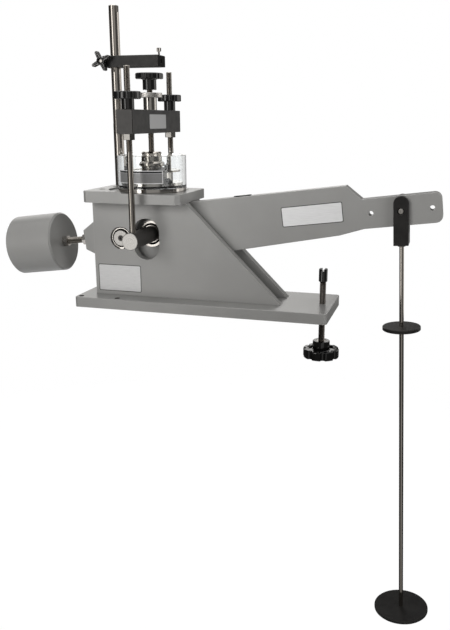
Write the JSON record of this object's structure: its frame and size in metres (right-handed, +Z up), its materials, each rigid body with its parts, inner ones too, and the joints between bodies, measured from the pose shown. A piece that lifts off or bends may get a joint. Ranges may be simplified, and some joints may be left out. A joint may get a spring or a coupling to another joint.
{
  "type": "consolidation apparatus",
  "caption": "Lever-arm dead-weight load frame for soil consolidation tests, with a counterweighted beam, loading yoke, clear-walled cell, dial gauge arm, weight hanger and beam jack.",
  "frame": {"origin": "centre of the base bolt pattern on the underside of the base plate", "axes": "+X along the beam towards the weight hanger, +Y to the rear, where the dial post stands, +Z up"},
  "size_m": [0.8373, 0.239, 1.1307],
  "materials": {
    "grey_coat": "satin",
    "grey_weight": "satin",
    "bright_steel": "satin",
    "stainless": "polished",
    "black_oxide": "satin",
    "black_coat": "satin",
    "black_plastic": "satin",
    "clear_acrylic": "gloss",
    "black_rubber": "matte",
    "porous_stone": "matte",
    "level_glass": "gloss",
    "nylon": "matte"
  },
  "bodies": {
    "frame": {"base_plate": "grey_coat", "front_side_plate": "grey_coat", "rear_side_plate": "grey_coat", "top_plate": "grey_coat", "base_screws": "black_oxide", "platform_screws": "black_oxide", "bearing_outer_races": "bright_steel", "bearing_balls": "bright_steel", "circlips": "bright_steel", "cell_base": "stainless", "o_ring": "black_rubber", "acrylic_wall": "clear_acrylic", "lower_stone": "porous_stone", "specimen_ring": "stainless", "clamp_ring": "stainless", "cell_studs": "stainless", "cell_nuts": "black_oxide", "drain_plug": "black_plastic", "dial_post": "bright_steel"},
    "beam": {"beam": "grey_coat", "yoke_bush": "bright_steel", "level_housing": "black_plastic", "level_vial": "level_glass", "counterweight_rod": "bright_steel", "rod_nut": "bright_steel", "pivot_shaft": "bright_steel", "shaft_end_caps": "bright_steel", "shaft_end_screws": "black_oxide", "bearing_inner_races": "bright_steel"},
    "counterweight": {"counterweight": "grey_weight", "counterweight_locknut": "bright_steel"},
    "yoke": {"lower_crossbar": "black_coat", "front_yoke_rod": "bright_steel", "rear_yoke_rod": "bright_steel", "crosshead": "black_coat", "crosshead_nuts": "bright_steel", "screw_bush": "bright_steel"},
    "front_thumbwheel": {"front_thumbwheel": "black_plastic"},
    "rear_thumbwheel": {"rear_thumbwheel": "black_plastic"},
    "lock_disc": {"lock_disc": "bright_steel"},
    "load_ball": {"load_ball": "bright_steel"},
    "loading_screw": {"loading_screw": "bright_steel", "t_knob": "black_plastic"},
    "loading_cap": {"loading_cap": "stainless", "upper_stone": "porous_stone"},
    "hanger": {"hanger_clevis": "black_coat", "clevis_pin": "bright_steel", "pin_clip": "bright_steel", "hanger_nut": "bright_steel", "hanger_rod": "bright_steel", "middle_disc": "black_coat", "bottom_disc": "black_coat"},
    "jack_cap": {"jack_cap": "black_oxide"},
    "jack_screw": {"jack_screw": "black_oxide", "jack_wheel": "black_plastic"},
    "arm_bush": {"arm_bush": "nylon"},
    "dial_arm": {"dial_arm": "black_coat"},
    "star_knob": {"star_knob": "black_plastic", "clamp_stud": "black_oxide"},
    "gauge_thumbscrew": {"gauge_thumbscrew": "bright_steel"}
  },
  "joints": [
    {"name": "beam_pivot", "type": "hinge", "parent": "frame", "child": "beam", "pos_m": [0.0365, 0, 0.1272], "axis": [0, 1, 0], "range_deg": [0, 7.25]},
    {"name": "counterweight_slide", "type": "slide", "parent": "beam", "child": "counterweight", "axis": [-0.992, 0, -0.1262], "range_m": [-0.02, 0.02]},
    {"name": "yoke_pivot", "type": "hinge", "parent": "beam", "child": "yoke", "pos_m": [0.08689, 0, 0.13361], "axis": [0, 1, 0], "range_deg": [-7.25, 0]},
    {"name": "front_thumbwheel_turn", "type": "hinge", "parent": "yoke", "child": "front_thumbwheel", "pos_m": [0.08689, -0.097, 0.3727], "axis": [0, 0, 1], "continuous": true},
    {"name": "rear_thumbwheel_turn", "type": "hinge", "parent": "yoke", "child": "rear_thumbwheel", "pos_m": [0.08689, 0.097, 0.3727], "axis": [0, 0, 1], "continuous": true},
    {"name": "lock_disc_turn", "type": "hinge", "parent": "yoke", "child": "lock_disc", "pos_m": [0.08689, 0, 0.3777], "axis": [0, 0, 1], "continuous": true},
    {"name": "screw_feed", "type": "slide", "parent": "yoke", "child": "load_ball", "axis": [0, 0, 1], "range_m": [0, 0.008]},
    {"name": "screw_turn", "type": "hinge", "parent": "load_ball", "child": "loading_screw", "pos_m": [0.08689, 0, 0.356], "axis": [0, 0, 1], "range_deg": [0, 1440]},
    {"name": "cap_travel", "type": "slide", "parent": "frame", "child": "loading_cap", "axis": [0, 0, 1], "range_m": [-0.0065, 0]},
    {"name": "hanger_swing", "type": "hinge", "parent": "beam", "child": "hanger", "pos_m": [0.54044, 0, 0.19132], "axis": [0, 1, 0], "range_deg": [-10, 10]},
    {"name": "jack_lift", "type": "slide", "parent": "frame", "child": "jack_cap", "axis": [0, 0, 1], "range_m": [-0.04, 0.008]},
    {"name": "jack_turn", "type": "hinge", "parent": "jack_cap", "child": "jack_screw", "pos_m": [0.4098, 0, 0], "axis": [0, 0, 1], "range_deg": [-7200, 1440]},
    {"name": "arm_height", "type": "slide", "parent": "frame", "child": "arm_bush", "axis": [0, 0, 1], "range_m": [0, 0.075]},
    {"name": "arm_swing", "type": "hinge", "parent": "arm_bush", "child": "dial_arm", "pos_m": [-0.0035, 0.057, 0.4437], "axis": [0, 0, 1], "range_deg": [-35, 100]},
    {"name": "star_knob_turn", "type": "hinge", "parent": "dial_arm", "child": "star_knob", "pos_m": [-0.0185, 0.038, 0.4437], "axis": [0, 1, 0], "range_deg": [-360, 0]},
    {"name": "gauge_thumbscrew_turn", "type": "hinge", "parent": "dial_arm", "child": "gauge_thumbscrew", "pos_m": [0.08379, 0.057, 0.4538], "axis": [0, 0, 1], "range_deg": [0, 360]}
  ],
  "couplings": [
    {"joint": "yoke_pivot", "follows": "beam_pivot", "ratio": -1},
    {"joint": "cap_travel", "follows": "beam_pivot", "m_per_rad": -0.0507},
    {"joint": "screw_feed", "follows": "screw_turn", "m_per_rad": 0.00031831},
    {"joint": "jack_lift", "follows": "jack_turn", "m_per_rad": 0.00031831}
  ]
}
